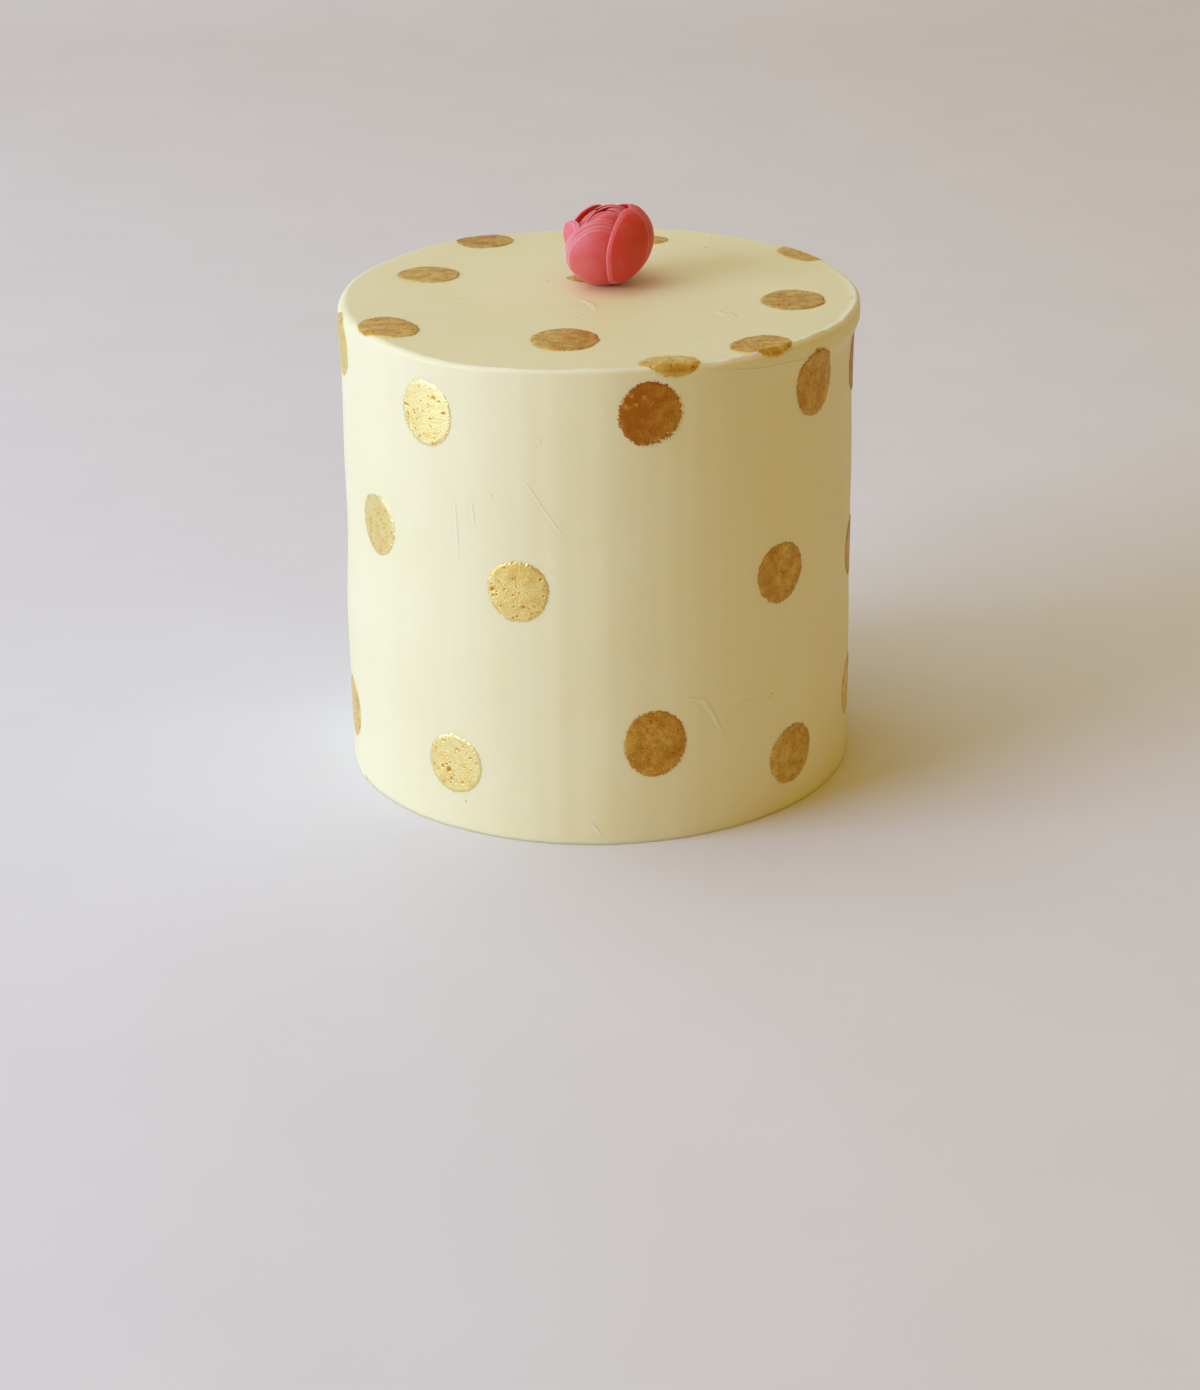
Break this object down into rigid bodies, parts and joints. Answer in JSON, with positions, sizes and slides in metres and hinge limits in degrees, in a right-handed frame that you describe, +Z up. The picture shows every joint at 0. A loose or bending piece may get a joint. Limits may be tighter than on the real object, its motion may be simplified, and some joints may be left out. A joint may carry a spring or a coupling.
{
  "type": "layer cake",
  "caption": "Tall round layer cake with smooth pale buttercream, crisp rim, brushed gold dots over its top and side, and a pink sugar rosebud on top",
  "frame": {"origin": "middle of the cake's flat foot, on the surface that it stands on", "axes": "+Z up through the cake, +X to the right and -Y to the front as the picture shows it"},
  "size_m": [0.1689, 0.167, 0.1827],
  "materials": {
    "icing": "smooth scraped buttercream, pale cream yellow, soft satin",
    "gold": "brushed edible gold lustre, grainy and pitted, half metallic",
    "rose": "pink sugar paste, matt with a faint satin edge"
  },
  "bodies": {
    "root": {"cake": "icing", "dot_lower_01": "gold", "dot_lower_02": "gold", "dot_lower_03": "gold", "dot_lower_04": "gold", "dot_lower_05": "gold", "dot_lower_06": "gold", "dot_lower_07": "gold", "dot_lower_08": "gold", "dot_lower_09": "gold", "dot_middle_01": "gold", "dot_middle_02": "gold", "dot_middle_03": "gold", "dot_middle_04": "gold", "dot_middle_05": "gold", "dot_middle_06": "gold", "dot_middle_07": "gold", "dot_middle_08": "gold", "dot_rim_01": "gold", "dot_rim_02": "gold", "dot_rim_03": "gold", "dot_rim_04": "gold", "dot_rim_05": "gold", "dot_top_01": "gold", "dot_top_02": "gold", "dot_top_03": "gold", "dot_top_04": "gold", "dot_top_05": "gold", "dot_upper_01": "gold", "dot_upper_02": "gold", "dot_upper_03": "gold", "dot_upper_04": "gold", "dot_upper_05": "gold", "dot_upper_06": "gold", "dot_upper_07": "gold", "dot_upper_08": "gold", "dot_upper_09": "gold", "petal_back": "rose", "petal_back_left": "rose", "petal_back_right": "rose", "petal_front_left": "rose", "petal_front_right": "rose", "petal_front_under": "rose", "petal_heart_left": "rose", "petal_heart_right": "rose", "petal_inner_back": "rose", "petal_inner_front": "rose", "petal_inner_left": "rose", "petal_inner_right": "rose", "petal_left": "rose", "petal_right": "rose", "rose_heart": "rose"}
  },
  "joints": []
}
